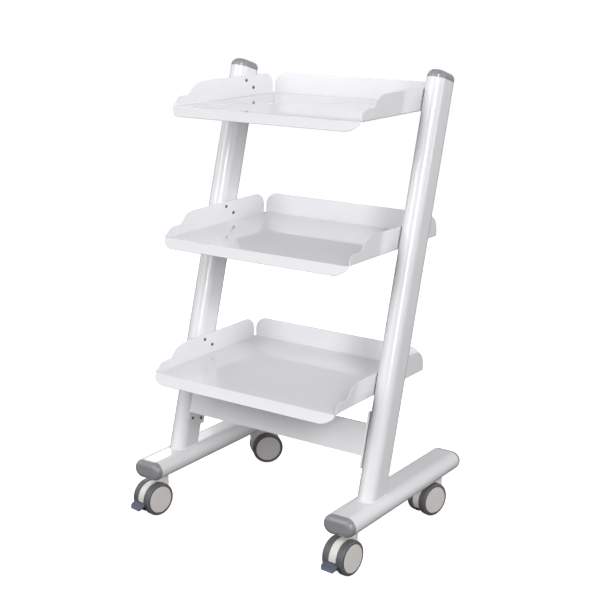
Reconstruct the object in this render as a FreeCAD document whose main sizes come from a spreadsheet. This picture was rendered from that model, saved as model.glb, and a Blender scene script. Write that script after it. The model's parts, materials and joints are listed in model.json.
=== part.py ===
"""Rolling salon trolley: two leaning posts on wheeled feet, three folded sheet trays, a brace
panel and four twin-wheel casters, the front two with brake pedals.

World frame: +X right, +Y back, +Z up, origin on the floor below the middle of the overall box.
Lengths are millimetres and angles degrees.
"""
import FreeCAD, Part
import math
import os

import Sketcher

V = FreeCAD.Vector
X_AXIS, Y_AXIS, Z_AXIS = V(1, 0, 0), V(0, 1, 0), V(0, 0, 1)

# Driving dimensions: (alias, value). Each one becomes a cell of the spreadsheet "Sizes".
SIZES = [
    # whole frame
    ("post_spacing", 510.0),      # between the centre planes of the two side frames
    ("front_offset", 207.0),      # from the front end of the foot tubes back to the origin
    ("lean", 16.25),              # backward lean of the posts
    # flat-oval tube of feet and posts
    ("tube_wide", 74.0),
    ("tube_thin", 42.0),
    ("tube_wall", 1.5),
    ("foot_length", 432.0),
    ("foot_bottom", 88.0),        # underside of the feet above the floor
    ("post_foot", 118.0),         # post axis behind the foot's front end, at the foot's top
    ("post_length", 877.0),
    ("post_overrun", 16.0),       # raw length below the cope cut
    # end caps
    ("foot_cap_height", 14.5),
    ("post_cap_height", 17.0),
    ("cap_round", 12.2),
    ("cap_plug", 18.0),
    ("cap_gap", 0.3),
    ("cap_wall", 2.5),
    # trays
    ("sheet", 1.5),
    ("bend_inner", 2.0),
    ("bend_outer", 3.5),
    ("tray_depth", 358.0),
    ("flange_height", 48.0),
    ("step_height", 23.0),        # low front part of the side flange
    ("nose", 2.0),                # side flange ahead of the lip's fold
    ("nose_round", 30.0),
    ("flare_start", 6.0),         # behind the fold, where the side flanges turn outwards
    ("flare_angle", 35.0),
    ("flare_length", 9.0),
    ("flare_foot", 0.5),          # lower edge of the flare above the tray's underside
    ("step_end", 49.0),           # where the low part meets the rising curve
    ("rise_end", 94.0),           # where the rising curve reaches full height
    ("step_blend", 9.0),          # hollow radius between the low part and the rising curve
    ("rear_round", 31.0),
    ("side_back_gap", 5.0),       # end of the side flange to the outer face of the back flange
    ("back_inset", 4.0),          # back flange ends inside the side flanges
    ("lip_length", 26.0),
    ("lip_angle", 42.0),
    ("lip_round", 31.0),
    ("lip_ear", 2.0),             # lip wider than the floor, just below the fold
    ("tray_top_z", 909.5),        # underside of the tray floor above the floor
    ("tray_middle_z", 631.5),
    ("tray_bottom_z", 336.5),
    ("tray_top_y", 89.8),         # tray's front fold behind the foot's front end
    ("tray_middle_y", 52.1),
    ("tray_bottom_y", 8.1),
    # fixings
    ("screw_rise", 28.0),         # centre of the screw pair above the tray's underside
    ("screw_half_y", 13.0),
    ("screw_half_z", 9.0),
    ("nut_flange", 0.8),          # rivet nut flange, which stands the sheet metal off the post
    ("nut_radius", 3.0),
    ("close_fit", 0.03),          # radial play of fixed pins and nuts in their holes
    ("thread_radius", 2.0),
    ("head_radius", 3.8),
    ("head_height", 2.2),
    ("screw_length", 12.0),
    ("socket_flats", 2.5),
    # brace panel
    ("brace_sheet", 3.0),
    ("brace_web", 68.5),          # web height, along the posts
    ("brace_end", 120.0),         # end plate height, along the posts
    ("brace_depth", 56.0),
    ("brace_return", 10.0),
    ("brace_centre", 115.5),      # along the post axis from the foot's top
    ("brace_screw_y", 15.0),
    ("brace_screw_z", 48.0),
    # casters
    ("caster_inset", 39.0),       # swivel axis from the end of the foot tube
    ("trail", 26.5),
    ("wheel_radius", 37.5),
    ("wheel_face", 27.4),         # outer face of a wheel from the caster's middle
    ("yaw_front_left", -10.2),
    ("yaw_front_right", -5.0),
    ("yaw_rear_right", -15.0),
    ("yaw_rear_left", 138.0),
    ("fork_half", 9.3),
    ("fork_radius", 36.0),
    ("cavity_radius", 33.0),
    ("cavity_half", 7.0),
    ("housing_radius", 12.5),
    ("housing_base", 70.0),
    ("housing_top", 85.7),
    ("bush_bottom", 62.0),
    ("bush_radius", 7.0),
    ("bush_bore", 5.05),
    ("stem_radius", 5.0),
    ("stem_bottom", 57.0),
    ("stem_thread", 6.0),
    ("stem_top", 107.0),
    ("collar_bottom", 86.0),
    ("collar_flats", 19.0),
    ("axle_radius", 4.0),
    ("axle_half", 24.5),
    ("hub_bore", 4.05),
    ("hub_radius", 30.4),
    ("tyre_width", 16.9),
    ("tyre_inner_x", 10.0),
    ("shoulder", 4.9),
    ("disc_radius", 30.1),
    # brake
    ("pedal_y", -42.0),           # pedal pivot from the swivel axis
    ("pedal_z", 26.0),
    ("pedal_pin", 1.5),
    ("pedal_bore", 1.55),
    ("pedal_half", 18.0),
    ("arm_half", 6.2),
    ("bar_rise", 8.0),            # brake bar above the pedal pivot
    ("bar_radius", 2.0),
    ("bar_half", 15.5),
]

TRAYS = ("top", "middle", "bottom")
SIDES = (("left", -1), ("right", 1))
CASTERS = (
    ("front_left", -1, "front"),
    ("front_right", 1, "front"),
    ("rear_left", -1, "rear"),
    ("rear_right", 1, "rear"),
)

doc = FreeCAD.newDocument("SalonTrolley")
sheet = doc.addObject("Spreadsheet::Sheet", "Sizes")
for row, (alias, number) in enumerate(SIZES, start=1):
    sheet.set("A%d" % row, alias)
    sheet.set("B%d" % row, str(number))
    sheet.setAlias("B%d" % row, alias)
doc.recompute()


def size(formula):
    """Value of a formula in which sheet cells are written Sizes.alias."""
    return float(sheet.evalExpression(formula))


# ---------------------------------------------------------------- sketch and feature helpers
def new_body(name):
    """A body whose label is its node's name."""
    body = doc.addObject("PartDesign::Body", name)
    body.Label = name
    return body


def new_sketch(body, plane, name, offset=None):
    """Sketch on one of the body's own origin planes, moved along its normal by a formula."""
    sketch = body.newObject("Sketcher::SketchObject", name)
    support = [f for f in body.Origin.OriginFeatures if f.Role == plane][0]
    sketch.AttachmentSupport = [(support, "")]
    sketch.MapMode = "FlatFace"
    if offset:
        sketch.setExpression("AttachmentOffset.Base.z", offset)
    return sketch


def bind(sketch, constraint, formula):
    """Adds a dimension to the sketch and ties it to a formula of the sheet."""
    index = sketch.addConstraint(constraint)
    sketch.setExpression("Constraints[%d]" % index, formula)


def place_point(sketch, edge, end, x_formula, y_formula):
    """Fixes one end of an edge at (x, y) from the sketch's origin."""
    for kind, axis, formula in (("DistanceX", -2, x_formula), ("DistanceY", -1, y_formula)):
        number = size(formula)
        if abs(number) < 1e-9:
            sketch.addConstraint(Sketcher.Constraint("PointOnObject", edge, end, axis))
        elif number > 0:
            bind(sketch, Sketcher.Constraint(kind, -1, 1, edge, end, number), formula)
        else:
            bind(sketch, Sketcher.Constraint(kind, edge, end, -1, 1, -number), "-(%s)" % formula)


def arc_between(start, stop, radius, turn):
    """Minor arc from start to stop; turn is 1 when it curves to the left, -1 to the right."""
    chord = stop - start
    middle = (start + stop) * 0.5
    height = math.sqrt(max(radius * radius - chord.Length * chord.Length / 4.0, 0.0))
    left = V(-chord.y, chord.x, 0).normalize()
    centre = middle + left * (height * turn)
    first, last = (start, stop) if turn > 0 else (stop, start)
    angle0 = math.atan2(first.y - centre.y, first.x - centre.x)
    angle1 = math.atan2(last.y - centre.y, last.x - centre.x)
    if angle1 <= angle0:
        angle1 += 2.0 * math.pi
    return Part.ArcOfCircle(Part.Circle(centre, Z_AXIS, radius), angle0, angle1)


def shape_arc(sketch, edge, radius):
    """Radius dimension of an arc with fixed ends; half circles get a centred middle instead."""
    arc = sketch.Geometry[edge]
    chord = arc.EndPoint - arc.StartPoint
    if chord.Length < 2.0 * arc.Radius - 1e-6:
        bind(sketch, Sketcher.Constraint("Radius", edge, size(radius)), radius)
    elif abs(chord.x) < 1e-6:
        sketch.addConstraint(Sketcher.Constraint("Vertical", edge, 1, edge, 3))
    else:
        sketch.addConstraint(Sketcher.Constraint("Horizontal", edge, 1, edge, 3))


def outline(sketch, corners):
    """Closed outline. A corner is (x, y), or (x, y, radius, turn) when an arc leads to the next."""
    points = [V(size(corner[0]), size(corner[1]), 0) for corner in corners]
    edges = []
    for index, corner in enumerate(corners):
        start = points[index]
        stop = points[(index + 1) % len(points)]
        if len(corner) == 4:
            edge = sketch.addGeometry(arc_between(start, stop, size(corner[2]), corner[3]), False)
            ends = (1, 2) if corner[3] > 0 else (2, 1)
        else:
            edge = sketch.addGeometry(Part.LineSegment(start, stop), False)
            ends = (1, 2)
        edges.append((edge, ends))
    for index, (edge, ends) in enumerate(edges):
        next_edge, next_ends = edges[(index + 1) % len(edges)]
        join = Sketcher.Constraint("Coincident", edge, ends[1], next_edge, next_ends[0])
        sketch.addConstraint(join)
    for (edge, ends), corner in zip(edges, corners):
        place_point(sketch, edge, ends[0], corner[0], corner[1])
        if len(corner) == 4:
            shape_arc(sketch, edge, corner[2])


def oval(sketch, wide, thin):
    """Flat oval about the sketch's origin, wide along its X."""
    reach = "((%s) - (%s)) / 2" % (wide, thin)
    radius = "(%s) / 2" % thin
    outline(sketch, [
        ("-(%s)" % reach, "-(%s)" % radius),
        (reach, "-(%s)" % radius, radius, 1),
        (reach, radius),
        ("-(%s)" % reach, radius, radius, 1),
    ])


def circle(sketch, x_formula, y_formula, radius):
    """Circle with its centre at (x, y)."""
    centre = V(size(x_formula), size(y_formula), 0)
    edge = sketch.addGeometry(Part.Circle(centre, Z_AXIS, size(radius)), False)
    place_point(sketch, edge, 3, x_formula, y_formula)
    bind(sketch, Sketcher.Constraint("Radius", edge, size(radius)), radius)


def hexagon(sketch, flats):
    """Regular hexagon about the origin, by its width across flats."""
    corner = "(%s) / sqrt(3)" % flats
    outline(sketch, [("(%s) * cos(%d)" % (corner, turn), "(%s) * sin(%d)" % (corner, turn))
                     for turn in range(0, 360, 60)])


def pad(body, sketch, name, length, side="One side", reverse=False, second=None):
    """Pad whose length is a formula."""
    feature = body.newObject("PartDesign::Pad", name)
    feature.Profile = sketch
    feature.SideType = side
    feature.Reversed = reverse
    feature.setExpression("Length", length)
    if second:
        feature.setExpression("Length2", second)
    doc.recompute()
    return feature


def pocket(body, sketch, name, length=None, side="One side", reverse=False):
    """Pocket that has to remove material; through everything when no length is given."""
    before = body.Tip.Shape.Volume
    feature = body.newObject("PartDesign::Pocket", name)
    feature.Profile = sketch
    feature.SideType = side
    feature.Reversed = reverse
    if length:
        feature.setExpression("Length", length)
    else:
        feature.Type = "ThroughAll"
    doc.recompute()
    if feature.Shape.Volume > before - 1e-3:
        raise RuntimeError("pocket %s of %s cuts nothing" % (name, body.Label))
    return feature


def revolve(body, sketch, name, axis):
    """Full revolution about the sketch's H_Axis or V_Axis."""
    feature = body.newObject("PartDesign::Revolution", name)
    feature.Profile = sketch
    feature.ReferenceAxis = (sketch, [axis])
    feature.Angle = 360.0
    doc.recompute()
    return feature


def fillet(body, name, radius, chosen):
    """Fillet on every edge of the body's tip that chosen(edge) accepts."""
    base = body.Tip
    edges = ["Edge%d" % (i + 1) for i, edge in enumerate(base.Shape.Edges) if chosen(edge)]
    if not edges:
        raise RuntimeError("fillet %s of %s found no edge" % (name, body.Label))
    feature = body.newObject("PartDesign::Fillet", name)
    feature.Base = (base, edges)
    feature.setExpression("Radius", radius)
    doc.recompute()
    return feature


def line_at(edge, direction):
    """Middle point of a straight edge that runs along direction, or None."""
    if not isinstance(edge.Curve, Part.Line):
        return None
    if abs(abs(edge.Curve.Direction.dot(direction)) - 1.0) > 1e-6:
        return None
    return (edge.Vertexes[0].Point + edge.Vertexes[1].Point) * 0.5


def group_of_copies(name, model, placements):
    """One node of several identical separate solids: the modelled solid repeated."""
    solids = []
    for placement in placements:
        solid = model.Shape.copy()
        solid.Placement = placement.multiply(model.Shape.Placement)
        solids.append(solid)
    group = doc.addObject("Part::Feature", name)
    group.Label = name
    group.Shape = Part.makeCompound(solids)
    return group


# ---------------------------------------------------------------- where things are
CENTRE_Y = -size("Sizes.front_offset")
FOOT_TOP = "Sizes.foot_bottom + Sizes.tube_thin"
LEAN = FreeCAD.Rotation(X_AXIS, -size("Sizes.lean"))
TRAY_HALF = "Sizes.post_spacing / 2 - Sizes.tube_thin / 2 - Sizes.nut_flange"


def post_placement(side):
    """Post frame: origin where the post axis meets the foot's top, +Z along the axis."""
    base = V(side * size("Sizes.post_spacing / 2"), CENTRE_Y + size("Sizes.post_foot"),
             size(FOOT_TOP))
    return FreeCAD.Placement(base, LEAN)


def tray_placement(level):
    """Tray frame: origin at the middle of the front fold, on the floor's underside."""
    base = V(0, CENTRE_Y + size("Sizes.tray_%s_y" % level), size("Sizes.tray_%s_z" % level))
    return FreeCAD.Placement(base, FreeCAD.Rotation())


def caster_placement(corner, side, end):
    """Caster frame: origin on the floor under the swivel axis, wheels ahead at -Y."""
    inset = "Sizes.caster_inset"
    y_formula = inset if end == "front" else "Sizes.foot_length - " + inset
    base = V(side * size("Sizes.post_spacing / 2"), CENTRE_Y + size(y_formula), 0)
    turn = FreeCAD.Rotation(Z_AXIS, size("Sizes.yaw_" + corner))
    return FreeCAD.Placement(base, turn)


def tray_pair_on_post(level):
    """Screw centres of one tray side in post coordinates, as (y, z) formulas."""
    along = "(Sizes.tray_%s_z + Sizes.screw_rise - (%s)) / cos(Sizes.lean)" % (level, FOOT_TOP)
    pair = []
    for sign in (-1, 1):
        y = "%d * (Sizes.screw_half_y * cos(Sizes.lean) + Sizes.screw_half_z * sin(Sizes.lean))"
        z = "%d * (Sizes.screw_half_y * sin(Sizes.lean) - Sizes.screw_half_z * cos(Sizes.lean))"
        pair.append((y % sign, along + " + " + z % sign))
    return pair


def brace_pattern_on_post():
    """Screw centres of one brace end in post coordinates, as (y, z) formulas."""
    return [("%d * Sizes.brace_screw_y" % a, "Sizes.brace_centre + %d * Sizes.brace_screw_z" % b)
            for a in (-1, 1) for b in (-1, 1)]


def tray_pair_on_tray(level):
    """Screw centres of one tray side in tray coordinates, as (y, z) formulas."""
    middle = ("Sizes.post_foot - Sizes.tray_%s_y + (Sizes.tray_%s_z + Sizes.screw_rise - (%s))"
              " * tan(Sizes.lean)") % (level, level, FOOT_TOP)
    return [("%s + %d * Sizes.screw_half_y" % (middle, sign),
             "Sizes.screw_rise - %d * Sizes.screw_half_z" % sign) for sign in (-1, 1)]


# ---------------------------------------------------------------- side frames
def make_foot(side_name, side):
    """Foot tube along Y, with a caster hole near each end of its underside."""
    body = new_body("foot_" + side_name)
    section = new_sketch(body, "XZ_Plane", "Section")
    oval(section, "Sizes.tube_wide", "Sizes.tube_thin")
    oval(section, "Sizes.tube_wide - 2 * Sizes.tube_wall", "Sizes.tube_thin - 2 * Sizes.tube_wall")
    pad(body, section, "Tube", "Sizes.foot_length", reverse=True)
    holes = new_sketch(body, "XY_Plane", "CasterHoles")
    for y_formula in ("Sizes.caster_inset", "Sizes.foot_length - Sizes.caster_inset"):
        circle(holes, "0", y_formula, "Sizes.stem_thread + 0.2")
    pocket(body, holes, "CasterHolePocket")
    base = V(side * size("Sizes.post_spacing / 2"), CENTRE_Y,
             size("Sizes.foot_bottom + Sizes.tube_thin / 2"))
    body.Placement = FreeCAD.Placement(base, FreeCAD.Rotation())
    return body


def make_post(side_name, side):
    """Leaning post: flat-oval tube, coped onto the foot, with rivet nut holes inside."""
    body = new_body("post_" + side_name)
    section = new_sketch(body, "XY_Plane", "Section")
    flat = "Sizes.tube_wide - Sizes.tube_thin"
    for inset in ("0", "Sizes.tube_wall"):
        radius = "Sizes.tube_thin / 2 - " + inset
        outline(section, [
            (radius, "-(%s) / 2" % flat),
            (radius, "(%s) / 2" % flat, radius, 1),
            ("-(%s)" % radius, "(%s) / 2" % flat),
            ("-(%s)" % radius, "-(%s) / 2" % flat, radius, 1),
        ])
    pad(body, section, "Tube", "Sizes.post_length", side="Two sides", second="Sizes.post_overrun")
    cope = new_sketch(body, "XZ_Plane", "FootOutline")
    lean = size("Sizes.lean")
    cope.AttachmentOffset = FreeCAD.Placement(V(0, 0, 0), FreeCAD.Rotation(X_AXIS, lean))
    cope.setExpression("AttachmentOffset.Base.y", "-Sizes.tube_thin / 2 * cos(Sizes.lean)")
    cope.setExpression("AttachmentOffset.Base.z", "-Sizes.tube_thin / 2 * sin(Sizes.lean)")
    oval(cope, "Sizes.tube_wide", "Sizes.tube_thin")
    pocket(body, cope, "Cope", side="Symmetric")
    holes = new_sketch(body, "YZ_Plane", "NutHoles")
    for level in TRAYS:
        for y_formula, z_formula in tray_pair_on_post(level):
            circle(holes, y_formula, z_formula, "Sizes.nut_radius + Sizes.close_fit")
    for y_formula, z_formula in brace_pattern_on_post():
        circle(holes, y_formula, z_formula, "Sizes.nut_radius + Sizes.close_fit")
    pocket(body, holes, "NutHolePocket", reverse=side < 0)
    body.Placement = post_placement(side)
    return body


def make_cap_model(member):
    """Domed end cap: flat-oval head and a hollow plug that fills the tube's mouth."""
    body = new_body(member + "_cap_model")
    height = "Sizes.%s_cap_height" % member
    head = new_sketch(body, "XY_Plane", "Head")
    oval(head, "Sizes.tube_wide", "Sizes.tube_thin")
    pad(body, head, "HeadPad", height)
    top = size(height)
    fillet(body, "Dome", "Sizes.cap_round",
           lambda edge: all(abs(v.Z - top) < 1e-6 for v in edge.Vertexes))
    plug = new_sketch(body, "XY_Plane", "Plug")
    loss = "2 * Sizes.tube_wall + 2 * Sizes.cap_gap"
    oval(plug, "Sizes.tube_wide - (%s)" % loss, "Sizes.tube_thin - (%s)" % loss)
    pad(body, plug, "PlugPad", "Sizes.cap_plug", reverse=True)
    hollow = new_sketch(body, "XY_Plane", "Hollow", offset="-Sizes.cap_plug")
    loss = loss + " + 2 * Sizes.cap_wall"
    oval(hollow, "Sizes.tube_wide - (%s)" % loss, "Sizes.tube_thin - (%s)" % loss)
    pocket(body, hollow, "HollowPocket", "Sizes.cap_plug + Sizes.cap_wall", reverse=True)
    return body


def make_caps(foot_model, post_model):
    """Four foot caps facing forwards and backwards, and two post caps."""
    centre_z = size("Sizes.foot_bottom + Sizes.tube_thin / 2")
    foot_places = []
    for _, side in SIDES:
        x = side * size("Sizes.post_spacing / 2")
        for y, turn in ((0.0, 90.0), (size("Sizes.foot_length"), -90.0)):
            rotation = FreeCAD.Rotation(X_AXIS, turn)
            foot_places.append(FreeCAD.Placement(V(x, CENTRE_Y + y, centre_z), rotation))
    group_of_copies("foot_caps", foot_model, foot_places)
    quarter = FreeCAD.Placement(V(0, 0, size("Sizes.post_length")), FreeCAD.Rotation(Z_AXIS, 90))
    post_places = [post_placement(side).multiply(quarter) for _, side in SIDES]
    group_of_copies("post_caps", post_model, post_places)


# ---------------------------------------------------------------- trays
def make_tray(level):
    """Folded sheet tray: floor, two side flanges, back flange and sloping front lip."""
    body = new_body("tray_" + level)
    half, t, ro, ri = "(%s)" % TRAY_HALF, "Sizes.sheet", "Sizes.bend_outer", "Sizes.bend_inner"
    height, depth = "Sizes.flange_height", "Sizes.tray_depth"

    # floor and side flanges, as one channel along Y
    channel = new_sketch(body, "XZ_Plane", "Channel")
    outline(channel, [
        ("-" + half, height),
        ("-" + half, ro, ro, 1),
        ("-%s + %s" % (half, ro), "0"),
        ("%s - %s" % (half, ro), "0", ro, 1),
        (half, ro),
        (half, height),
        ("%s - %s" % (half, t), height),
        ("%s - %s" % (half, t), ro, ri, -1),
        ("%s - %s" % (half, ro), t),
        ("-%s + %s" % (half, ro), t, ri, -1),
        ("-%s + %s" % (half, t), ro),
        ("-%s + %s" % (half, t), height),
    ])
    side_end = "(%s - Sizes.side_back_gap)" % depth
    pad(body, channel, "ChannelPad", side_end, reverse=True)

    # front ends of the side flanges, turned outwards
    above = height + " + 20"
    turn_line = "Sizes.flare_start"
    start = new_sketch(body, "YZ_Plane", "FlangeStart")
    outline(start, [("-5", ro), (turn_line, ro), (turn_line, above), ("-5", above)])
    pocket(body, start, "FlangeStartTrim", side="Symmetric")
    flare = new_sketch(body, "XY_Plane", "Flare", offset="Sizes.flare_foot")
    fc, fs, reach = "cos(Sizes.flare_angle)", "sin(Sizes.flare_angle)", "Sizes.flare_length"
    for sign in (-1, 1):
        near_x, far_x = ("%s + %s - %s * %s" % (half, ri, radius, fc) for radius in (ri, ro))
        near_y, far_y = ("%s - %s * %s" % (turn_line, radius, fs) for radius in (ri, ro))
        out_x, out_y = "%s * %s" % (reach, fs), "%s * %s" % (reach, fc)
        outline(flare, [
            ("%d * %s" % (sign, half), turn_line + " + 0.5"),
            ("%d * %s" % (sign, half), turn_line, ri, sign),
            ("%d * (%s)" % (sign, near_x), near_y),
            ("%d * (%s + %s)" % (sign, near_x, out_x), "%s - %s" % (near_y, out_y)),
            ("%d * (%s + %s)" % (sign, far_x, out_x), "%s - %s" % (far_y, out_y)),
            ("%d * (%s)" % (sign, far_x), far_y, ro, -sign),
            ("%d * (%s - %s)" % (sign, half, t), turn_line),
            ("%d * (%s - %s)" % (sign, half, t), turn_line + " + 0.5"),
        ])
    pad(body, flare, "FlarePads", height)

    # front outline of the side flanges: round nose, low step, rising curve
    step, rise = "Sizes.step_height", "Sizes.rise_end"
    run, climb = "(%s - Sizes.step_end)" % rise, "(%s - %s)" % (height, step)
    rise_radius = "(%s * %s + %s * %s) / (2 * %s)" % (run, run, climb, climb, climb)
    foot, nose_round = "Sizes.flare_foot", "Sizes.nose_round"
    nose_y, nose_z = "(%s - Sizes.nose)" % nose_round, "(%s - %s)" % (step, nose_round)
    tip_y = "%s - sqrt(%s * %s - (%s - %s) * (%s - %s))" % (
        nose_y, nose_round, nose_round, foot, nose_z, foot, nose_z)
    front = new_sketch(body, "YZ_Plane", "FrontOutline")
    outline(front, [
        ("0", "-5"),
        ("0", foot),
        (tip_y, foot, nose_round, -1),
        (nose_y, step),
        ("Sizes.step_end", step, rise_radius, -1),
        (rise, height),
        (rise, above),
        ("-Sizes.nose - 20", above),
        ("-Sizes.nose - 20", "-5"),
    ])
    pocket(body, front, "FrontTrim", side="Symmetric")
    rear = new_sketch(body, "YZ_Plane", "RearOutline")
    round_start = "%s - Sizes.rear_round" % side_end
    outline(rear, [
        (round_start, height, "Sizes.rear_round", -1),
        (side_end, "%s - Sizes.rear_round" % height),
        ("%s + 5" % side_end, "%s - Sizes.rear_round" % height),
        ("%s + 5" % side_end, above),
        (round_start, above),
    ])
    pocket(body, rear, "RearTrim", side="Symmetric")

    # back flange
    back = new_sketch(body, "YZ_Plane", "Back")
    overlap = "20"
    outline(back, [
        ("%s - %s" % (depth, overlap), "0"),
        ("%s - %s" % (depth, ro), "0", ro, 1),
        (depth, ro),
        (depth, height),
        ("%s - %s" % (depth, t), height),
        ("%s - %s" % (depth, t), ro, ri, -1),
        ("%s - %s" % (depth, ro), t),
        ("%s - %s" % (depth, overlap), t),
    ])
    pad(body, back, "BackPad", "2 * (%s - Sizes.back_inset)" % half, side="Symmetric")
    edge_x, edge_z = size("%s - Sizes.back_inset" % half), size(height)

    def back_corner(edge):
        middle = line_at(edge, Y_AXIS)
        return middle is not None and abs(abs(middle.x) - edge_x) < 0.01 \
            and abs(middle.z - edge_z) < 0.01

    fillet(body, "BackRounds", "Sizes.rear_round", back_corner)
    step_y, step_z = size("Sizes.step_end"), size(step)

    def step_corner(edge):
        middle = line_at(edge, X_AXIS)
        return middle is not None and abs(middle.y - step_y) < 0.01 \
            and abs(middle.z - step_z) < 0.01

    fillet(body, "StepBlends", "Sizes.step_blend", step_corner)

    # bend of the front lip, which slopes down and forwards from the fold
    fold = "(%s * tan(Sizes.lip_angle / 2))" % ro
    c, s = "cos(Sizes.lip_angle)", "sin(Sizes.lip_angle)"
    fold_half, ear_half = "(%s - 0.2)" % half, "(%s + Sizes.lip_ear)" % half
    ear_drop = "(%s + Sizes.lip_ear)" % fold
    at_ear = "(Sizes.lip_round - Sizes.lip_length + %s)" % ear_drop
    arc_x = "(%s - sqrt(Sizes.lip_round * Sizes.lip_round - %s * %s))" % (ear_half, at_ear, at_ear)
    bend = new_sketch(body, "YZ_Plane", "LipBend")
    outline(bend, [
        ("12", "0"),
        ("12", t),
        (fold, t, ro, 1),
        ("-%s * %s" % (fold, c), "%s - %s * %s" % (t, fold, s)),
        ("%s * %s - %s * %s" % (t, s, fold, c),
         "%s - %s * %s - %s * %s" % (t, fold, s, t, c), ri, -1),
        (fold, "0"),
    ])
    pad(body, bend, "LipBendPad", "2 * %s" % fold_half, side="Symmetric")
    lip = new_sketch(body, "XY_Plane", "Lip")
    slope = FreeCAD.Rotation(X_AXIS, size("Sizes.lip_angle"))
    lip.AttachmentOffset = FreeCAD.Placement(V(0, 0, 0), slope)
    lip.setExpression("AttachmentOffset.Base.z", t)
    outline(lip, [
        ("-" + arc_x, "-Sizes.lip_length"),
        (arc_x, "-Sizes.lip_length", "Sizes.lip_round", 1),
        (ear_half, "-" + ear_drop),
        (fold_half, "-" + fold),
        ("-" + fold_half, "-" + fold),
        ("-" + ear_half, "-" + ear_drop, "Sizes.lip_round", 1),
    ])
    pad(body, lip, "LipPad", t, reverse=True)

    holes = new_sketch(body, "YZ_Plane", "ScrewHoles")
    for y_formula, z_formula in tray_pair_on_tray(level):
        circle(holes, y_formula, z_formula, "Sizes.thread_radius + 0.25")
    pocket(body, holes, "ScrewHolePocket", side="Symmetric")
    body.Placement = tray_placement(level)
    return body


# ---------------------------------------------------------------- brace panel
def make_brace():
    """Brace across the posts: a shallow channel with a taller plate at each end."""
    body = new_body("brace_panel")
    t, half = "Sizes.brace_sheet", "(%s)" % TRAY_HALF
    front = "Sizes.brace_depth / 2"
    web = "Sizes.brace_web / 2"
    section = new_sketch(body, "YZ_Plane", "Section")
    back = "-(%s) + Sizes.brace_return" % front
    outline(section, [
        ("-(%s)" % front, "-(%s)" % web),
        (back, "-(%s)" % web),
        (back, "-(%s) + %s" % (web, t)),
        ("-(%s) + %s" % (front, t), "-(%s) + %s" % (web, t)),
        ("-(%s) + %s" % (front, t), "%s - %s" % (web, t)),
        (back, "%s - %s" % (web, t)),
        (back, web),
        ("-(%s)" % front, web),
    ])
    pad(body, section, "Web", "2 * %s" % half, side="Symmetric")
    plates = new_sketch(body, "YZ_Plane", "Plate")
    tall = "Sizes.brace_end / 2"
    outline(plates, [
        ("-(%s)" % front, "-(%s)" % tall),
        (front, "-(%s)" % tall),
        (front, tall),
        ("-(%s)" % front, tall),
    ])
    pad(body, plates, "Plates", "2 * %s" % half, side="Symmetric")
    middle = new_sketch(body, "XY_Plane", "Between")
    inner = "(%s - %s)" % (half, t)
    outline(middle, [
        ("-" + inner, "-(%s) + %s" % (front, t)),
        (inner, "-(%s) + %s" % (front, t)),
        (inner, front + " + 5"),
        ("-" + inner, front + " + 5"),
    ])
    pocket(body, middle, "BetweenPocket", side="Symmetric")
    for sign, name in ((1, "Above"), (-1, "Below")):
        spare = new_sketch(body, "YZ_Plane", name)
        low, high = (web, tall + " + 5") if sign > 0 else ("-(%s) - 5" % tall, "-(%s)" % web)
        outline(spare, [
            ("-(%s) - 5" % front, low),
            ("-(%s) + %s" % (front, t), low),
            ("-(%s) + %s" % (front, t), high),
            ("-(%s) - 5" % front, high),
        ])
        pocket(body, spare, name + "Pocket", "2 * " + inner, side="Symmetric")
    returns = new_sketch(body, "YZ_Plane", "Returns")
    for sign in (-1, 1):
        edge = "%d * (%s)" % (sign, web)
        inside = "%d * (%s - %s)" % (sign, web, t)
        low, high = (edge, inside) if sign < 0 else (inside, edge)
        outline(returns, [
            ("-(%s) + %s / 2" % (front, t), low),
            (back, low),
            (back, high),
            ("-(%s) + %s / 2" % (front, t), high),
        ])
    pad(body, returns, "ReturnPads", "2 * " + inner, side="Symmetric")

    corner_x, corner_y = size(half), size(front)

    def front_corner(edge):
        middle_point = line_at(edge, Z_AXIS)
        return middle_point is not None and abs(abs(middle_point.x) - corner_x) < 0.01 \
            and abs(middle_point.y + corner_y) < 0.01

    fillet(body, "FrontBends", "Sizes.brace_sheet - 0.4", front_corner)
    holes = new_sketch(body, "YZ_Plane", "ScrewHoles")
    for a in (-1, 1):
        for b in (-1, 1):
            circle(holes, "%d * Sizes.brace_screw_y" % a, "%d * Sizes.brace_screw_z" % b,
                   "Sizes.thread_radius + 0.25")
    pocket(body, holes, "ScrewHolePocket", side="Symmetric")
    centre = post_placement(0).multiply(
        FreeCAD.Placement(V(0, 0, size("Sizes.brace_centre")), FreeCAD.Rotation()))
    body.Placement = centre
    return body


# ---------------------------------------------------------------- screws and nuts
def make_screw_model():
    """Button head socket screw along +X, its head's bearing face at the origin."""
    body = new_body("screw_model")
    profile = new_sketch(body, "XZ_Plane", "Profile")
    shank = "Sizes.thread_radius - 0.05"
    outline(profile, [
        ("-Sizes.head_height", "0"),
        ("Sizes.screw_length", "0"),
        ("Sizes.screw_length", "%s - 0.6" % shank),
        ("Sizes.screw_length - 0.6", shank),
        ("0", shank),
        ("0", "Sizes.head_radius"),
        ("-0.3", "Sizes.head_radius", "Sizes.head_radius * 0.85", 1),
        ("-Sizes.head_height", "Sizes.head_radius * 0.55"),
    ])
    revolve(body, profile, "Turned", "H_Axis")
    socket = new_sketch(body, "YZ_Plane", "Socket", offset="-Sizes.head_height")
    hexagon(socket, "Sizes.socket_flats")
    pocket(body, socket, "SocketPocket", "1.6", reverse=True)
    return body


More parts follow.
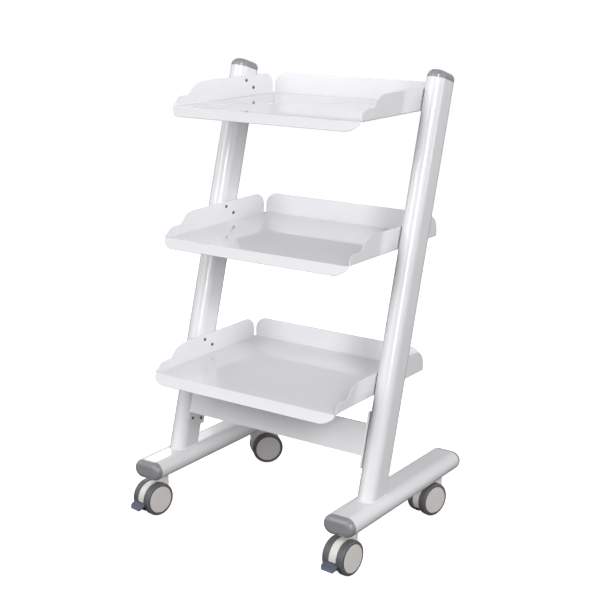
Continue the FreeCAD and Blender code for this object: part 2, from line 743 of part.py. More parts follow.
def make_nut_model():
    """Rivet nut along +X, its flange's outer face at the origin."""
    body = new_body("nut_model")
    profile = new_sketch(body, "XZ_Plane", "Profile")
    wall = "Sizes.nut_flange + Sizes.tube_wall"
    outline(profile, [
        ("0", "Sizes.thread_radius"),
        ("14", "Sizes.thread_radius"),
        ("14", "Sizes.nut_radius"),
        (wall + " + 3.4", "Sizes.nut_radius"),
        (wall + " + 1.6", "Sizes.nut_radius + 1.1"),
        (wall + " + 0.3", "Sizes.nut_radius + 0.9"),
        (wall + " + 0.3", "Sizes.nut_radius"),
        ("Sizes.nut_flange", "Sizes.nut_radius"),
        ("Sizes.nut_flange", "Sizes.nut_radius + 1.3"),
        ("0", "Sizes.nut_radius + 1.3"),
    ])
    revolve(body, profile, "Turned", "H_Axis")
    return body


def fixing_places(pattern, plate):
    """Placements on both posts of fixings whose bearing face is plate mm inside the nut flange."""
    places = []
    for _, side in SIDES:
        turn = FreeCAD.Rotation(Z_AXIS, 0 if side > 0 else 180)
        inner_face = side * -size("Sizes.tube_thin / 2 + Sizes.nut_flange")
        for y_formula, z_formula in pattern:
            spot = V(inner_face - side * plate, size(y_formula), size(z_formula))
            centre = post_placement(side).multVec(spot)
            level_turn = FreeCAD.Placement(V(0, 0, 0), turn)
            places.append(FreeCAD.Placement(centre, level_turn.Rotation))
    return places


def make_fixings():
    """Screws of the trays and of the brace, and the rivet nuts that they go into."""
    screw, nut = make_screw_model(), make_nut_model()
    trays = [spot for level in TRAYS for spot in tray_pair_on_post(level)]
    group_of_copies("tray_screws", screw, fixing_places(trays, size("Sizes.sheet")))
    brace = brace_pattern_on_post()
    group_of_copies("brace_screws", screw, fixing_places(brace, size("Sizes.brace_sheet")))
    group_of_copies("rivet_nuts", nut, fixing_places(trays + brace, 0.0))
    return [screw, nut]


# ---------------------------------------------------------------- casters
def make_stem_model():
    """Kingpin: plain shank with a clip groove below, hexagon collar, thread above."""
    body = new_body("stem_model")
    groove = "Sizes.stem_radius - 0.8"
    clip_low, clip_high = "Sizes.bush_bottom - 1.6", "Sizes.bush_bottom - 0.4"
    profile = new_sketch(body, "XZ_Plane", "Profile")
    outline(profile, [
        ("0", "Sizes.stem_bottom"),
        ("Sizes.stem_radius - 0.6", "Sizes.stem_bottom"),
        ("Sizes.stem_radius", "Sizes.stem_bottom + 0.6"),
        ("Sizes.stem_radius", clip_low),
        (groove, clip_low),
        (groove, clip_high),
        ("Sizes.stem_radius", clip_high),
        ("Sizes.stem_radius", "Sizes.foot_bottom"),
        ("Sizes.stem_thread - 0.05", "Sizes.foot_bottom"),
        ("Sizes.stem_thread - 0.05", "Sizes.stem_top - 1"),
        ("Sizes.stem_thread - 1", "Sizes.stem_top"),
        ("0", "Sizes.stem_top"),
    ])
    revolve(body, profile, "Turned", "V_Axis")
    collar = new_sketch(body, "XY_Plane", "Collar", offset="Sizes.collar_bottom")
    hexagon(collar, "Sizes.collar_flats")
    pad(body, collar, "CollarPad", "Sizes.foot_bottom - Sizes.collar_bottom")
    return body


def make_clip_model():
    """Retaining clip in the kingpin's groove, open at one side."""
    body = new_body("clip_model")
    ring = new_sketch(body, "XY_Plane", "Ring", offset="Sizes.bush_bottom - 1.6")
    circle(ring, "0", "0", "Sizes.stem_radius + 1.6")
    circle(ring, "0", "0", "Sizes.stem_radius - 0.8 + Sizes.close_fit")
    pad(body, ring, "RingPad", "1.2")
    mouth = new_sketch(body, "XY_Plane", "Mouth", offset="Sizes.bush_bottom - 1.6")
    outline(mouth, [("-2.2", "0"), ("2.2", "0"), ("2.2", "12"), ("-2.2", "12")])
    pocket(body, mouth, "MouthPocket", side="Symmetric")
    return body


def make_weld_nut_model():
    """Threaded plate welded inside the foot tube above a caster hole."""
    body = new_body("weld_nut_model")
    plate = new_sketch(body, "XY_Plane", "Plate", offset="Sizes.foot_bottom + Sizes.tube_wall")
    outline(plate, [("-14", "-18"), ("14", "-18"), ("14", "18"), ("-14", "18")])
    circle(plate, "0", "0", "Sizes.stem_thread")
    pad(body, plate, "PlatePad", "9")
    return body


def fork_outline(sketch, braked):
    """Side view of the fork: hood over the wheels, neck and stem housing."""
    radius, cy, cz = "Sizes.fork_radius", "(-Sizes.trail)", "Sizes.wheel_radius"

    def on_circle(z_formula, sign):
        reach = "sqrt(%s * %s - (%s - %s) * (%s - %s))"
        values = (radius, radius, z_formula, cz, z_formula, cz)
        return "%s %s %s" % (cy, "+" if sign > 0 else "-", reach % values)

    neck_y = "%s + %s * cos(70)" % (cy, radius)
    neck_z = "%s + %s * sin(70)" % (cz, radius)
    housing = "Sizes.housing_radius"
    rim_end = "35" if braked else "18"
    front = [(on_circle(rim_end, -1), rim_end, radius, -1)]
    belly = [("-48", "17")] if braked else []
    outline(sketch, front + [
        (neck_y, neck_z),
        ("-%s + 0.5" % housing, "78"),
        ("-%s + 0.5" % housing, "Sizes.housing_top - 2"),
        (housing + " - 0.5", "Sizes.housing_top - 2"),
        (housing + " - 0.5", "58"),
        (on_circle("40", 1), "40", radius, -1),
        (on_circle("20", 1), "20"),
    ] + belly)


def make_fork(corner, braked):
    """Fork of one caster: hood between the twin wheels, with the stem housing."""
    body = new_body("fork_" + corner)
    side_view = new_sketch(body, "YZ_Plane", "SideView")
    fork_outline(side_view, braked)
    pad(body, side_view, "Hood", "2 * Sizes.fork_half", side="Symmetric")
    round_plan = new_sketch(body, "XY_Plane", "Housing", offset="Sizes.housing_base")
    circle(round_plan, "0", "0", "Sizes.housing_radius")
    pad(body, round_plan, "HousingPad", "Sizes.housing_top - Sizes.housing_base")
    cavity = new_sketch(body, "YZ_Plane", "Cavity")
    circle(cavity, "-Sizes.trail", "Sizes.wheel_radius", "Sizes.cavity_radius")
    pocket(body, cavity, "CavityPocket", "2 * Sizes.cavity_half", side="Symmetric")
    bore = new_sketch(body, "XY_Plane", "Bore", offset="Sizes.housing_top")
    circle(bore, "0", "0", "Sizes.bush_radius")
    pocket(body, bore, "BorePocket", "Sizes.housing_top - Sizes.bush_bottom")
    chamber = new_sketch(body, "XY_Plane", "Chamber", offset="Sizes.bush_bottom")
    circle(chamber, "0", "0", "Sizes.bush_radius + 0.4")
    pocket(body, chamber, "ChamberPocket", "Sizes.bush_bottom - Sizes.stem_bottom + 3")
    holes = new_sketch(body, "YZ_Plane", "Holes")
    circle(holes, "-Sizes.trail", "Sizes.wheel_radius", "Sizes.axle_radius + Sizes.close_fit")
    if braked:
        circle(holes, "Sizes.pedal_y", "Sizes.pedal_z", "Sizes.pedal_pin + Sizes.close_fit")
    pocket(body, holes, "HolePocket", side="Symmetric")
    if braked:
        slot = new_sketch(body, "YZ_Plane", "BarSlot")
        clear = "Sizes.bar_radius + 0.5"
        level = "Sizes.pedal_z + Sizes.bar_rise"
        outline(slot, [
            ("Sizes.pedal_y - 2", "%s - (%s)" % (level, clear)),
            ("Sizes.pedal_y", "%s - (%s)" % (level, clear), clear, 1),
            ("Sizes.pedal_y", "%s + (%s)" % (level, clear)),
            ("Sizes.pedal_y - 2", "%s + (%s)" % (level, clear), clear, 1),
        ])
        pocket(body, slot, "BarSlotPocket", side="Symmetric")
    return body


def make_turned(name, sketch_plane, axis, corners):
    """A plain turned piece."""
    body = new_body(name)
    profile = new_sketch(body, sketch_plane, "Profile")
    outline(profile, corners)
    revolve(body, profile, "Turned", axis)
    return body


def make_bush(corner):
    """Plain bearing bush pressed into the fork, around the kingpin."""
    return make_turned("swivel_bush_" + corner, "XZ_Plane", "V_Axis", [
        ("Sizes.bush_bore", "Sizes.bush_bottom"),
        ("Sizes.bush_radius", "Sizes.bush_bottom"),
        ("Sizes.bush_radius", "Sizes.housing_top"),
        ("Sizes.bush_bore", "Sizes.housing_top"),
    ])


def pin_corners(radius, half, bevel):
    """Side view of a round pin centred on the origin, with bevelled ends."""
    return [
        ("-(%s)" % half, "0"),
        (half, "0"),
        (half, "%s - %s" % (radius, bevel)),
        ("%s - %s" % (half, bevel), radius),
        ("-(%s) + %s" % (half, bevel), radius),
        ("-(%s)" % half, "%s - %s" % (radius, bevel)),
    ]


def make_hub(name):
    """Wheel hub with its axle boss, brake ring, web and rim."""
    face = "Sizes.wheel_face - 2"
    return make_turned(name, "XZ_Plane", "H_Axis", [
        ("Sizes.tyre_inner_x - 0.1", "Sizes.hub_bore"),
        ("%s - 0.4" % face, "Sizes.hub_bore"),
        ("%s - 0.4" % face, "9"),
        ("20", "9"),
        ("20", "27"),
        (face, "27"),
        (face, "Sizes.hub_radius"),
        ("Sizes.tyre_inner_x + 0.4", "Sizes.hub_radius"),
        ("Sizes.tyre_inner_x + 0.4", "28"),
        ("17", "28"),
        ("17", "23"),
        ("Sizes.tyre_inner_x + 0.4", "23"),
        ("Sizes.tyre_inner_x + 0.4", "20.3"),
        ("17", "20.3"),
        ("17", "9"),
        ("Sizes.tyre_inner_x - 0.1", "9"),
    ])


def make_tyre(name):
    """Soft tyre with a broad outer shoulder and a small inner one."""
    outer = "(Sizes.tyre_inner_x + Sizes.tyre_width)"
    return make_turned(name, "XZ_Plane", "H_Axis", [
        ("Sizes.tyre_inner_x", "Sizes.hub_radius"),
        (outer, "Sizes.hub_radius"),
        (outer, "Sizes.wheel_radius - Sizes.shoulder", "Sizes.shoulder", 1),
        ("%s - Sizes.shoulder" % outer, "Sizes.wheel_radius"),
        ("Sizes.tyre_inner_x + 2.5", "Sizes.wheel_radius", "2.5", 1),
        ("Sizes.tyre_inner_x", "Sizes.wheel_radius - 2.5"),
    ])


def make_disc(name):
    """Flat cover disc with a round edge and a snap ring behind."""
    face, edge = "Sizes.wheel_face", "1.2"
    back = "%s - 1.9" % face
    return make_turned(name, "XZ_Plane", "H_Axis", [
        (back, "0"),
        (face, "0"),
        (face, "Sizes.disc_radius - " + edge, edge, 1),
        ("%s - %s" % (face, edge), "Sizes.disc_radius"),
        (back, "Sizes.disc_radius"),
        (back, "26.4"),
        ("21", "26.4"),
        ("21", "24.6"),
        (back, "24.6"),
    ])


def make_pedal(corner):
    """Brake pedal: an arm between the wheels and a broad tread plate ahead of them."""
    body = new_body("brake_pedal_" + corner)
    arm = new_sketch(body, "YZ_Plane", "Arm")
    outline(arm, [
        ("-37.5", "38"),
        ("-47", "38"),
        ("-51", "29.8"),
        ("-62.5", "29.8"),
        ("-64.5", "33"),
        ("-70", "30"),
        ("-71", "25"),
        ("-66", "20.5"),
        ("-47", "20"),
        ("-37.5", "22"),
    ])
    pad(body, arm, "ArmPad", "2 * Sizes.arm_half", side="Symmetric")
    plate = new_sketch(body, "YZ_Plane", "Plate")
    outline(plate, [
        ("-65.4", "34.5"),
        ("-78", "27.6", "12", 1),
        ("-81", "22.4"),
        ("-79.2", "21"),
        ("-76", "24.2"),
        ("-65.4", "29.6"),
    ])
    pad(body, plate, "PlatePad", "2 * Sizes.pedal_half", side="Symmetric")
    corners = new_sketch(body, "XY_Plane", "PlateCorners")
    for sign in (-1, 1):
        half = "%d * Sizes.pedal_half" % sign
        beyond = "%d * (Sizes.pedal_half + 2)" % sign
        outline(corners, [
            (half, "-72.5", "8.5", -sign),
            ("%s - %d * 8.5" % (half, sign), "-81"),
            ("%s - %d * 8.5" % (half, sign), "-83"),
            (beyond, "-83"),
            (beyond, "-72.5"),
        ])
    pocket(body, corners, "PlateCornerPocket", side="Symmetric")
    holes = new_sketch(body, "YZ_Plane", "Holes")
    circle(holes, "Sizes.pedal_y", "Sizes.pedal_z", "Sizes.pedal_bore")
    circle(holes, "Sizes.pedal_y", "Sizes.pedal_z + Sizes.bar_rise",
           "Sizes.bar_radius + Sizes.close_fit")
    pocket(body, holes, "HolePocket", side="Symmetric")
    return body


def make_caster(corner, side, end):
    """All the pieces of one caster that turn with its fork."""
    place = caster_placement(corner, side, end)
    braked = end == "front"
    axle_line = FreeCAD.Placement(V(0, -size("Sizes.trail"), size("Sizes.wheel_radius")),
                                  FreeCAD.Rotation())
    pieces = [(make_fork(corner, braked), FreeCAD.Placement())]
    pieces.append((make_bush(corner), FreeCAD.Placement()))
    axle = make_turned("axle_" + corner, "XZ_Plane", "H_Axis",
                       pin_corners("Sizes.axle_radius", "Sizes.axle_half", "0.6"))
    pieces.append((axle, axle_line))
    for wheel_side, turn in (("left", 180), ("right", 0)):
        spin = axle_line.multiply(FreeCAD.Placement(V(0, 0, 0), FreeCAD.Rotation(Z_AXIS, turn)))
        tag = "%s_%s" % (corner, wheel_side)
        for piece in (make_hub("hub_" + tag), make_tyre("tyre_" + tag), make_disc("disc_" + tag)):
            pieces.append((piece, spin))
    if braked:
        pivot = V(0, size("Sizes.pedal_y"), size("Sizes.pedal_z"))
        pin = make_turned("pedal_pin_" + corner, "XZ_Plane", "H_Axis",
                          pin_corners("Sizes.pedal_pin", "Sizes.fork_half", "0.3"))
        pieces.append((pin, FreeCAD.Placement(pivot, FreeCAD.Rotation())))
        bar = make_turned("brake_bar_" + corner, "XZ_Plane", "H_Axis",
                          pin_corners("Sizes.bar_radius", "Sizes.bar_half", "0.4"))
        rise = V(0, 0, size("Sizes.bar_rise"))
        pieces.append((bar, FreeCAD.Placement(pivot + rise, FreeCAD.Rotation())))
        pieces.append((make_pedal(corner), FreeCAD.Placement()))
    for piece, local in pieces:
        piece.Placement = place.multiply(local)


def make_caster_mountings():
    """Kingpins, their clips and the weld nuts inside the feet, which don't turn."""
    places = []
    for corner, side, end in CASTERS:
        place = caster_placement(corner, side, end)
        places.append(FreeCAD.Placement(place.Base, FreeCAD.Rotation()))
    models = [make_stem_model(), make_clip_model(), make_weld_nut_model()]
    for name, model in zip(("caster_stems", "stem_clips", "caster_nuts"), models):
        group_of_copies(name, model, places)
    return models


# ---------------------------------------------------------------- assembly and export
for side_name, side_sign in SIDES:
    make_foot(side_name, side_sign)
    make_post(side_name, side_sign)
foot_cap = make_cap_model("foot")
post_cap = make_cap_model("post")
make_caps(foot_cap, post_cap)
for tray_level in TRAYS:
    make_tray(tray_level)
make_brace()
models_only = [foot_cap, post_cap] + make_fixings() + make_caster_mountings()
for caster in CASTERS:
    make_caster(*caster)
doc.recompute()

for thing in doc.Objects:
    if "Invalid" in thing.State or "Error" in thing.State:
        raise RuntimeError("%s is %s" % (thing.Label, thing.State))

os.makedirs("parts", exist_ok=True)
nodes = [thing for thing in doc.Objects
         if thing.TypeId in ("PartDesign::Body", "Part::Feature") and thing not in models_only]
whole = FreeCAD.BoundBox()
for node in nodes:
    if node.Shape.isNull() or not node.Shape.isValid():
        raise RuntimeError("%s has no valid shape" % node.Label)
    whole.add(node.Shape.BoundBox)
    node.Shape.exportStep(os.path.join("parts", node.Label + ".step"))
print("%d nodes" % len(nodes))
print("box x %.2f..%.2f  y %.2f..%.2f  z %.2f..%.2f" % (
    whole.XMin, whole.XMax, whole.YMin, whole.YMax, whole.ZMin, whole.ZMax))
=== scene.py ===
"""Looks of the rolling salon trolley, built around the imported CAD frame. Lengths are metres."""

import json
import math

import bmesh
import bpy
from mathutils import Matrix, Vector


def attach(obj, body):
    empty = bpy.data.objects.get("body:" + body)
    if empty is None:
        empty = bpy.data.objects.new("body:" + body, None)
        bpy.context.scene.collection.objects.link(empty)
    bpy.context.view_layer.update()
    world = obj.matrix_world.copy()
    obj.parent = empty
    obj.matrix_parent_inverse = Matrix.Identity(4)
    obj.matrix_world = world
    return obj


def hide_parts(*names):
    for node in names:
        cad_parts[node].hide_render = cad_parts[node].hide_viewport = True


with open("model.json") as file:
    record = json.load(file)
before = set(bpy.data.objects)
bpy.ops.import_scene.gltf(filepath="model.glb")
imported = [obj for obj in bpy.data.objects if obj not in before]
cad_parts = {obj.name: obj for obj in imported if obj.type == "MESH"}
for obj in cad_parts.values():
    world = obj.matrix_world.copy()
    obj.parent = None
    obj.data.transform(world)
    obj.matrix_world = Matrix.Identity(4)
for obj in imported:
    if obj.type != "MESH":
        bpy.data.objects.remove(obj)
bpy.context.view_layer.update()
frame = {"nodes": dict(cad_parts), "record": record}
NODES = frame["nodes"]


# ---------------------------------------------------------------- materials
def new_material(name):
    """Empty node material with its Principled shader, ready for links."""
    material = bpy.data.materials.new(name)
    material.use_nodes = True
    tree = material.node_tree
    tree.nodes.clear()
    out = tree.nodes.new("ShaderNodeOutputMaterial")
    shader = tree.nodes.new("ShaderNodeBsdfPrincipled")
    tree.links.new(shader.outputs["BSDF"], out.inputs["Surface"])
    return material, tree, shader


def object_coordinates(tree):
    """Position on the object, in metres."""
    return tree.nodes.new("ShaderNodeTexCoord").outputs["Object"]


def noise(tree, vector, scale, detail=2.0, roughness=0.5):
    """Noise texture's value."""
    node = tree.nodes.new("ShaderNodeTexNoise")
    node.inputs["Scale"].default_value = scale
    node.inputs["Detail"].default_value = detail
    node.inputs["Roughness"].default_value = roughness
    tree.links.new(vector, node.inputs["Vector"])
    return node.outputs["Fac"]


def span(tree, value, low, high, from_low=0.3, from_high=0.7):
    """Maps a value onto low..high."""
    node = tree.nodes.new("ShaderNodeMapRange")
    node.inputs["From Min"].default_value = from_low
    node.inputs["From Max"].default_value = from_high
    node.inputs["To Min"].default_value = low
    node.inputs["To Max"].default_value = high
    tree.links.new(value, node.inputs["Value"])
    return node.outputs["Result"]


def mix(tree, factor, first, second):
    """Mix of two colours, each a tuple or a socket, by a socket's value."""
    node = tree.nodes.new("ShaderNodeMix")
    node.data_type = "RGBA"
    tree.links.new(factor, node.inputs[0])
    for slot, colour in ((6, first), (7, second)):
        if isinstance(colour, tuple):
            node.inputs[slot].default_value = (*colour, 1.0)
        else:
            tree.links.new(colour, node.inputs[slot])
    return node.outputs[2]


def bump(tree, shader, height, distance, strength=1.0, before=None):
    """Bump from a height, stacked on an earlier bump when one is given."""
    node = tree.nodes.new("ShaderNodeBump")
    node.inputs["Distance"].default_value = distance
    node.inputs["Strength"].default_value = strength
    tree.links.new(height, node.inputs["Height"])
    if before:
        tree.links.new(before, node.inputs["Normal"])
    tree.links.new(node.outputs["Normal"], shader.inputs["Normal"])
    return node.outputs["Normal"]


def painted(name, colour, shade, rough, coat, coat_rough, peel, peel_scale):
    """Powder coat: faint tone drift, orange-peel bump and uneven gloss."""
    material, tree, shader = new_material(name)
    place = object_coordinates(tree)
    drift = span(tree, noise(tree, place, 9.0, 3.0), 0.0, 1.0)
    tree.links.new(mix(tree, drift, colour, shade), shader.inputs["Base Color"])
    gloss = noise(tree, place, 60.0, 3.0)
    tree.links.new(span(tree, gloss, rough * 0.85, rough * 1.2), shader.inputs["Roughness"])
    shader.inputs["IOR"].default_value = 1.5
    shader.inputs["Coat Weight"].default_value = coat
    shader.inputs["Coat Roughness"].default_value = coat_rough
    bump(tree, shader, noise(tree, place, peel_scale, 1.5), peel, 0.35)
    return material


def moulded(name, colour, shade, rough, grain=0.00004, grain_scale=1600.0, specular=0.5,
            coat=0.0):
    """Moulded plastic: spark-eroded grain, slight mottling and worn, smoother patches."""
    material, tree, shader = new_material(name)
    place = object_coordinates(tree)
    mottle = span(tree, noise(tree, place, 55.0, 4.0), 0.0, 1.0)
    tree.links.new(mix(tree, mottle, colour, shade), shader.inputs["Base Color"])
    worn = noise(tree, place, 130.0, 3.0)
    tree.links.new(span(tree, worn, rough * 0.9, rough * 1.1), shader.inputs["Roughness"])
    shader.inputs["Specular IOR Level"].default_value = specular
    shader.inputs["Coat Weight"].default_value = coat
    shader.inputs["Coat Roughness"].default_value = 0.12
    bump(tree, shader, noise(tree, place, grain_scale, 2.0), grain, 0.6)
    return material


def metal(name, colour, shade, rough):
    """Plated steel: fine turning marks and uneven brightness."""
    material, tree, shader = new_material(name)
    place = object_coordinates(tree)
    tone = span(tree, noise(tree, place, 240.0, 4.0), 0.0, 1.0)
    tree.links.new(mix(tree, tone, colour, shade), shader.inputs["Base Color"])
    shader.inputs["Metallic"].default_value = 1.0
    marks = noise(tree, place, 1500.0, 3.0)
    tree.links.new(span(tree, marks, rough * 0.7, rough * 1.4), shader.inputs["Roughness"])
    bump(tree, shader, marks, 0.00003, 0.4)
    return material


MATERIALS = {
    "powder_coat": painted("powder_coat", (0.82, 0.81, 0.82), (0.80, 0.79, 0.80), 0.22, 0.3,
                           0.06, 0.00001, 500.0),
    "tray_coat": painted("tray_coat", (0.85, 0.847, 0.865), (0.84, 0.837, 0.855), 0.05, 0.7,
                         0.02, 0.0000015, 260.0),
    "cap_grey": moulded("cap_grey", (0.285, 0.285, 0.30), (0.275, 0.275, 0.29), 0.30, 0.000008,
                        900.0, 0.5, 0.5),
    "black_screw": metal("black_screw", (0.16, 0.16, 0.165), (0.08, 0.08, 0.085), 0.35),
    "zinc_steel": metal("zinc_steel", (0.62, 0.62, 0.60), (0.5, 0.5, 0.49), 0.3),
    "fork_cream": moulded("fork_cream", (0.80, 0.78, 0.73), (0.78, 0.76, 0.71), 0.30, 0.00001),
    "disc_grey": moulded("disc_grey", (0.72, 0.69, 0.66), (0.705, 0.675, 0.645), 0.32, 0.00001),
    "hub_nylon": moulded("hub_nylon", (0.66, 0.65, 0.62), (0.62, 0.61, 0.58), 0.45),
    "tyre_grey": moulded("tyre_grey", (0.125, 0.125, 0.135), (0.115, 0.115, 0.123), 0.42,
                         0.00002, 1100.0),
    "pedal_blue": moulded("pedal_blue", (0.115, 0.125, 0.175), (0.10, 0.11, 0.155), 0.34,
                          0.00002),
    "bush_bronze": metal("bush_bronze", (0.55, 0.40, 0.20), (0.45, 0.32, 0.16), 0.35),
}


def dress(thing, slot):
    """Gives a mesh one material."""
    thing.data.materials.clear()
    thing.data.materials.append(MATERIALS[slot])


for part in frame["record"]["subparts"]:
    dress(NODES[part["node"]], part["material_slot"])


# ---------------------------------------------------------------- pieces
PEDAL_BORE = 0.00162    # radius, just over the pedal pin's 1.5 mm


def add_object(name, mesh):
    """Mesh as a new object of the scene."""
    thing = bpy.data.objects.new(name, mesh)
    bpy.context.scene.collection.objects.link(thing)
    return thing


def smooth_shaded(mesh):
    """Smooth shading on every face."""
    mesh.polygons.foreach_set("use_smooth", [True] * len(mesh.polygons))


def clear_bore(mesh, centre, axis, radius):
    """Moves points that stand inside a pin's bore out to its wall."""
    for vertex in mesh.vertices:
        offset = vertex.co - centre
        across = offset - axis * offset.dot(axis)
        if 1e-9 < across.length < radius:
            vertex.co += across * (radius / across.length - 1.0)


def moulding(node, body, slot, voxel, rounds):
    """A moulded piece in place of a CAD node: the same form with softly rounded edges."""
    draft = add_object(node + "_draft", NODES[node].data.copy())
    remesh = draft.modifiers.new("remesh", "REMESH")
    remesh.mode = "VOXEL"
    remesh.voxel_size = voxel
    soften = draft.modifiers.new("soften", "SMOOTH")
    soften.factor = 0.5
    soften.iterations = rounds
    graph = bpy.context.evaluated_depsgraph_get()
    mesh = bpy.data.meshes.new_from_object(draft.evaluated_get(graph))
    bpy.data.objects.remove(draft)
    mesh.name = node + "_moulding"
    piece = add_object(node + "_moulding", mesh)
    smooth_shaded(mesh)
    for joint in frame["record"]["behaviour"]["joints"]:
        if joint["child"] == body and joint["name"].startswith("press_"):
            axis = Vector(joint["axis"]).normalized()
            clear_bore(mesh, Vector(joint["pos_m"]), axis, PEDAL_BORE)
    dress(piece, slot)
    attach(piece, body)
    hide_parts(node)
    return piece


def sweep_ring(name, centres, sides, radius, points=10):
    """Closed, slightly uneven tube along a closed path; sides are unit vectors across it."""
    unevenness, ripple = 0.10, 1.9
    form = bmesh.new()
    rings = []
    for index, (centre, side) in enumerate(zip(centres, sides)):
        swell = radius * (1.0 + unevenness * math.sin(index * ripple))
        ring = []
        for step in range(points):
            turn = 2.0 * math.pi * step / points
            offset = side * (math.cos(turn) * swell) + Vector((0, 0, math.sin(turn) * swell))
            ring.append(form.verts.new(centre + offset))
        rings.append(ring)
    for index, ring in enumerate(rings):
        following = rings[(index + 1) % len(rings)]
        for step in range(points):
            after = (step + 1) % points
            form.faces.new((ring[step], ring[after], following[after], following[step]))
    bmesh.ops.recalc_face_normals(form, faces=form.faces)
    mesh = bpy.data.meshes.new(name)
    form.to_mesh(mesh)
    form.free()
    smooth_shaded(mesh)
    return add_object(name, mesh)


POST_X, POST_Y, FOOT_TOP = 0.255, -0.089, 0.130    # a post's axis where it meets its foot
LEAN = math.radians(16.25)
TUBE_FLAT, TUBE_RADIUS = 0.016, 0.021    # half of the tube's flat, and its end radius
BEAD_RADIUS, BEAD_SPACING, BEAD_ARC_STEPS = 0.0019, 0.0013, 56


def tube_outline():
    """Flat-oval section across a post: evenly spaced points, each with its outward direction."""
    corners = []
    for end in (-1, 1):
        for step in range(BEAD_ARC_STEPS):
            turn = math.pi * step / BEAD_ARC_STEPS
            direction = Vector((math.cos(turn), math.sin(turn), 0)) * end
            corners.append((Vector((0, end * TUBE_FLAT, 0)) + direction * TUBE_RADIUS, direction))
    outline = []
    for index, (point, direction) in enumerate(corners):
        following = corners[(index + 1) % len(corners)][0]
        pieces = max(int((following - point).length / BEAD_SPACING), 1)
        for step in range(pieces):
            outline.append((point.lerp(following, step / pieces), direction))
    return outline


def weld_bead(side_name, side):
    """Painted weld where a post stands on its foot."""
    centres, outward = [], []
    for point, direction in tube_outline():
        over = max(abs(point.x) - TUBE_FLAT, 0.0)
        drop = TUBE_RADIUS - math.sqrt(TUBE_RADIUS ** 2 - over ** 2)
        along = (point.y * math.sin(LEAN) - drop) / math.cos(LEAN)
        centres.append(Vector((side * POST_X + point.x,
                               POST_Y + point.y * math.cos(LEAN) + along * math.sin(LEAN),
                               FOOT_TOP - drop)))
        outward.append(direction)
    bead = sweep_ring("weld_bead_" + side_name, centres, outward, BEAD_RADIUS)
    dress(bead, "powder_coat")
    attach(bead, "frame")


CORNERS = ("front_left", "front_right", "rear_left", "rear_right")
BRAKED = CORNERS[:2]
for corner in CORNERS:
    moulding("fork_" + corner, "caster_" + corner, "fork_cream", voxel=0.0006, rounds=5)
for corner in BRAKED:
    moulding("brake_pedal_" + corner, "pedal_" + corner, "pedal_blue", voxel=0.00045, rounds=4)
weld_bead("left", -1)
weld_bead("right", 1)


# ---------------------------------------------------------------- stage, light, camera
def area_light(name, place, target, width, height, power, colour=(1, 1, 1)):
    """Soft rectangular light aimed at a point."""
    data = bpy.data.lights.new(name, "AREA")
    data.shape = "RECTANGLE"
    data.size = width
    data.size_y = height
    data.energy = power
    data.color = colour
    light = bpy.data.objects.new(name, data)
    light.location = place
    aim = Vector(target) - Vector(place)
    light.rotation_euler = aim.to_track_quat("-Z", "Y").to_euler()
    bpy.context.scene.collection.objects.link(light)
    return light


def make_stage():
    """Pale floor that curves up into a wall far away on every side."""
    reach, bend, wall, sides = 38.0, 8.0, 20.0, 96
    profile = [(reach, 0.0)]
    for step in range(1, 10):
        turn = math.radians(10.0 * step)
        profile.append((reach + bend * math.sin(turn), bend * (1.0 - math.cos(turn))))
    profile.append((reach + bend, wall))
    points, faces = [], [tuple(range(sides))]
    for radius, height in profile:
        for side in range(sides):
            turn = 2.0 * math.pi * side / sides
            points.append((radius * math.cos(turn), radius * math.sin(turn), height))
    for ring in range(len(profile) - 1):
        for side in range(sides):
            near, after = ring * sides + side, ring * sides + (side + 1) % sides
            faces.append((near, near + sides, after + sides, after))
    mesh = bpy.data.meshes.new("floor")
    mesh.from_pydata(points, [], faces)
    smooth_shaded(mesh)
    floor = bpy.data.objects.new("floor", mesh)
    bpy.context.scene.collection.objects.link(floor)
    material, tree, shader = new_material("floor_paper")
    place = object_coordinates(tree)
    tone = noise(tree, place, 3.0, 3.0)
    tree.links.new(mix(tree, tone, (0.55, 0.55, 0.55), (0.54, 0.54, 0.54)),
                   shader.inputs["Base Color"])
    shader.inputs["Roughness"].default_value = 0.9
    shader.inputs["Specular IOR Level"].default_value = 0.1
    shader.inputs["Emission Color"].default_value = (1, 1, 1, 1)
    shader.inputs["Emission Strength"].default_value = 0.88
    mesh.materials.append(material)
    floor.visible_diffuse = False
    floor.visible_glossy = False
    floor.visible_shadow = False


FAR_SIDE = (-0.573, 0.819, 0.0)    # the way from the camera to the trolley, seen from above


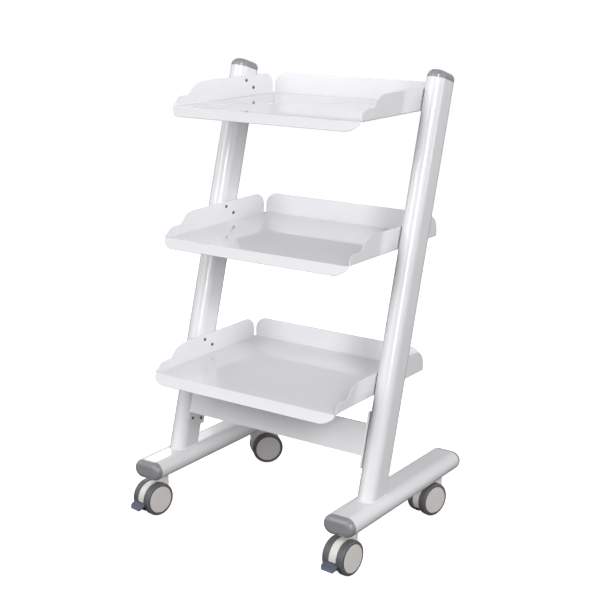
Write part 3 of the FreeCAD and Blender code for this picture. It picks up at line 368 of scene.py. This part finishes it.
def make_world():
    """Studio surroundings: brightest at the far side's horizon, dark overhead and below."""
    world = bpy.data.worlds.new("studio")
    world.use_nodes = True
    tree = world.node_tree
    place = tree.nodes.new("ShaderNodeTexCoord").outputs["Generated"]
    split = tree.nodes.new("ShaderNodeSeparateXYZ")
    tree.links.new(place, split.inputs[0])
    along = tree.nodes.new("ShaderNodeVectorMath")
    along.operation = "DOT_PRODUCT"
    tree.links.new(place, along.inputs[0])
    along.inputs[1].default_value = FAR_SIDE
    behind = span(tree, along.outputs["Value"], 0.0, 1.0, -0.1, 0.3)
    height = split.outputs["Z"]
    horizon = mix(tree, behind, (0.45, 0.447, 0.475), (0.78, 0.775, 0.82))
    middle = mix(tree, behind, (0.45, 0.447, 0.475), (0.49, 0.487, 0.52))
    walls = mix(tree, span(tree, height, 0.0, 1.0, 0.13, 0.19), horizon, middle)
    upper = mix(tree, behind, (0.30, 0.298, 0.315), (0.70, 0.695, 0.73))
    sides = mix(tree, span(tree, height, 0.0, 1.0, 0.34, 0.46), walls, upper)
    above = mix(tree, span(tree, height, 0.0, 1.0, 0.70, 0.80), sides, (0.02, 0.02, 0.022))
    shade = mix(tree, span(tree, height, 0.0, 1.0, -0.15, 0.05), (0.03, 0.03, 0.03), above)
    background = tree.nodes["Background"]
    tree.links.new(shade, background.inputs["Color"])
    background.inputs["Strength"].default_value = 0.93
    bpy.context.scene.world = world


def make_lights():
    """Tall strips to the camera's right, broad soft sources in front, weak fills around."""
    middle = (0.0, 0.0, 0.5)
    area_light("key", (2.9, -2.3, 2.0), middle, 0.7, 2.4, 88.0)
    area_light("key_side", (3.7, -1.4, 1.7), middle, 0.6, 2.4, 9.8)
    area_light("front", (-1.0, -3.5, 2.7), middle, 2.2, 2.2, 45.0)
    area_light("front_low", (-0.9, -4.0, 1.3), middle, 2.2, 2.4, 21.0)
    area_light("left", (-3.6, -1.6, 2.0), middle, 1.5, 2.2, 18.0)
    area_light("rim", (3.4, 2.0, 1.3), middle, 1.2, 2.0, 21.5)
    area_light("back_left", (-2.8, 2.0, 2.0), middle, 1.6, 1.6, 24.0)
    area_light("top", (0.1, -0.3, 3.2), middle, 2.0, 2.0, 9.0)
    area_light("glint", (1.9, -3.1, 2.3), middle, 0.14, 0.14, 2.0)


def make_camera():
    """Camera above the front right corner, looking down at the trolley."""
    yaw, pitch = math.radians(34.969), math.radians(15.105)
    back = Vector((math.sin(yaw) * math.cos(pitch), -math.cos(yaw) * math.cos(pitch),
                   math.sin(pitch)))
    right = Vector((math.cos(yaw), math.sin(yaw), 0))
    up = back.cross(right)
    data = bpy.data.cameras.new("camera")
    data.sensor_width = 36.0
    data.lens = 76.58
    data.clip_end = 100.0
    camera = bpy.data.objects.new("camera", data)
    axes = Matrix((right, up, back)).transposed().to_4x4()
    camera.matrix_world = Matrix.Translation((1.54615, -2.19639, 1.22025)) @ axes
    bpy.context.scene.collection.objects.link(camera)
    bpy.context.scene.camera = camera


make_stage()
make_world()
make_lights()
make_camera()
bpy.context.scene.view_settings.view_transform = "Standard"
